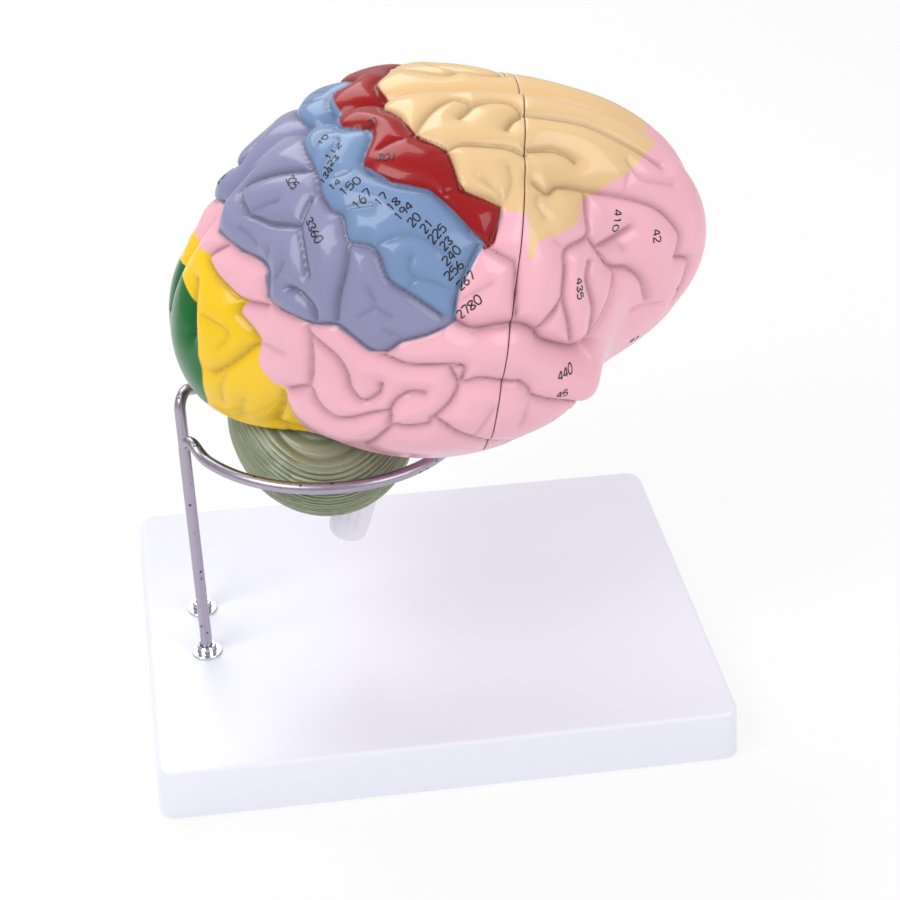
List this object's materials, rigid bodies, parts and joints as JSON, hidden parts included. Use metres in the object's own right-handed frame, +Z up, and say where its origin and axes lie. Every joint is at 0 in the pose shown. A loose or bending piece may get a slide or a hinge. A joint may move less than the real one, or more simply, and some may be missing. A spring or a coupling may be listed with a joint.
{
  "type": "brain anatomy model",
  "caption": "Life-size take-apart human brain model with painted regions, resting in a looped steel rod on a flat tray base.",
  "frame": {"origin": "middle of the base's underside", "axes": "+X to the front of the brain, +Y to its left side, +Z up"},
  "size_m": [0.2, 0.16, 0.2233],
  "materials": {
    "base_plastic": "gloss",
    "rod_steel": "satin",
    "collar_chrome": "polished",
    "fastener_steel": "zinc plated",
    "brain_paint": "painted gloss, in regions",
    "cerebellum_paint": "painted gloss",
    "stem_paint": "painted gloss",
    "peg_steel": "satin"
  },
  "bodies": {
    "stand": {"base": "base_plastic", "support_rod": "rod_steel", "right_collar": "collar_chrome", "left_collar": "collar_chrome", "post_washers": "fastener_steel", "post_nuts": "fastener_steel", "right_cerebellum": "cerebellum_paint", "left_cerebellum": "cerebellum_paint", "right_brainstem": "stem_paint", "left_brainstem": "stem_paint", "core_peg": "peg_steel"},
    "right_rear": {"right_rear_section": "brain_paint", "right_cut_pegs": "peg_steel"},
    "left_rear": {"left_rear_section": "brain_paint", "left_cut_pegs": "peg_steel", "midline_pegs": "peg_steel"},
    "right_front": {"right_front_section": "brain_paint"},
    "left_front": {"left_front_section": "brain_paint"}
  },
  "joints": [
    {"name": "right_half_slide", "type": "slide", "parent": "stand", "child": "right_rear", "axis": [0, -1, 0], "range_m": [0, 0.06]},
    {"name": "left_half_slide", "type": "slide", "parent": "stand", "child": "left_rear", "axis": [0, 1, 0], "range_m": [0, 0.06]},
    {"name": "right_front_slide", "type": "slide", "parent": "right_rear", "child": "right_front", "axis": [1, 0, 0], "range_m": [0, 0.06]},
    {"name": "left_front_slide", "type": "slide", "parent": "left_rear", "child": "left_front", "axis": [1, 0, 0], "range_m": [0, 0.06]}
  ]
}
